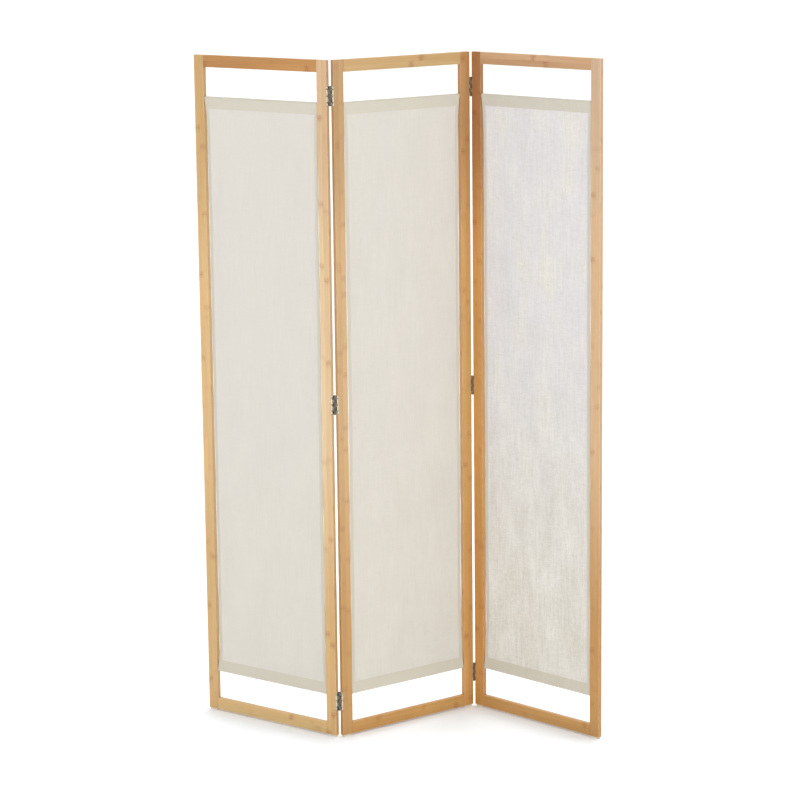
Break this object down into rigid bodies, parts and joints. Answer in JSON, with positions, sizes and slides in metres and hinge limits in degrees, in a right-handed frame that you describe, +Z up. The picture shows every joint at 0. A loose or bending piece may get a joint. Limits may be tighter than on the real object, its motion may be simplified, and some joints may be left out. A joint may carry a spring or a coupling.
{
  "type": "folding room divider screen",
  "caption": "Folding room screen: hinged bamboo frames with cloth stretched between rods in sewn sleeves, open above and below the cloth, standing in a zigzag.",
  "frame": {"origin": "on the floor under the middle of the standing screen's bounding box", "axes": "+Z up; +X across the screen as it stands, towards the right panel; +Y from the front towards the back"},
  "size_m": [1.0538, 0.3144, 1.79],
  "materials": {
    "bamboo": "clear satin lacquer over side-pressed bamboo strips",
    "dowel_wood": "plain turned wood, hidden",
    "rod_wood": "plain turned wood, seen faintly through the sleeve",
    "cloth": "natural off-white plain-woven cloth with slubs, lets light through",
    "foot_felt": "pressed cream felt",
    "hinge_steel": "plated sheet steel, satin",
    "pin_steel": "drawn steel pin, satin",
    "screw_steel": "plated countersunk cross-recess screws"
  },
  "bodies": {
    "middle_panel": {"middle_panel_left_stile": "bamboo", "middle_panel_left_foot": "foot_felt", "middle_panel_right_stile": "bamboo", "middle_panel_right_foot": "foot_felt", "middle_panel_bottom_rail": "bamboo", "middle_panel_top_rail": "bamboo", "middle_panel_dowels": "dowel_wood", "middle_panel_lower_rod": "rod_wood", "middle_panel_upper_rod": "rod_wood", "middle_panel_cloth": "cloth", "left_joint_low_hinge_middle_leaf": "hinge_steel", "left_joint_mid_hinge_middle_leaf": "hinge_steel", "left_joint_high_hinge_middle_leaf": "hinge_steel", "left_joint_hinge_middle_screws": "screw_steel", "right_joint_low_hinge_middle_leaf": "hinge_steel", "right_joint_mid_hinge_middle_leaf": "hinge_steel", "right_joint_high_hinge_middle_leaf": "hinge_steel", "right_joint_hinge_middle_screws": "screw_steel"},
    "left_panel": {"left_panel_left_stile": "bamboo", "left_panel_left_foot": "foot_felt", "left_panel_right_stile": "bamboo", "left_panel_right_foot": "foot_felt", "left_panel_bottom_rail": "bamboo", "left_panel_top_rail": "bamboo", "left_panel_dowels": "dowel_wood", "left_panel_lower_rod": "rod_wood", "left_panel_upper_rod": "rod_wood", "left_panel_cloth": "cloth", "left_joint_low_hinge_left_leaf": "hinge_steel", "left_joint_low_hinge_pin": "pin_steel", "left_joint_mid_hinge_left_leaf": "hinge_steel", "left_joint_mid_hinge_pin": "pin_steel", "left_joint_high_hinge_left_leaf": "hinge_steel", "left_joint_high_hinge_pin": "pin_steel", "left_joint_hinge_left_screws": "screw_steel"},
    "right_panel": {"right_panel_left_stile": "bamboo", "right_panel_left_foot": "foot_felt", "right_panel_right_stile": "bamboo", "right_panel_right_foot": "foot_felt", "right_panel_bottom_rail": "bamboo", "right_panel_top_rail": "bamboo", "right_panel_dowels": "dowel_wood", "right_panel_lower_rod": "rod_wood", "right_panel_upper_rod": "rod_wood", "right_panel_cloth": "cloth", "right_joint_low_hinge_right_leaf": "hinge_steel", "right_joint_low_hinge_pin": "pin_steel", "right_joint_mid_hinge_right_leaf": "hinge_steel", "right_joint_mid_hinge_pin": "pin_steel", "right_joint_high_hinge_right_leaf": "hinge_steel", "right_joint_high_hinge_pin": "pin_steel", "right_joint_hinge_right_screws": "screw_steel"}
  },
  "joints": [
    {"name": "left_joint", "type": "hinge", "parent": "middle_panel", "child": "left_panel", "pos_m": [-0.16452, -0.10363, 0], "axis": [0, 0, 1], "range_deg": [-107, 73]},
    {"name": "right_joint", "type": "hinge", "parent": "middle_panel", "child": "right_panel", "pos_m": [0.20051, 0.14782, 0], "axis": [0, 0, 1], "range_deg": [-99.5, 80.5]}
  ]
}
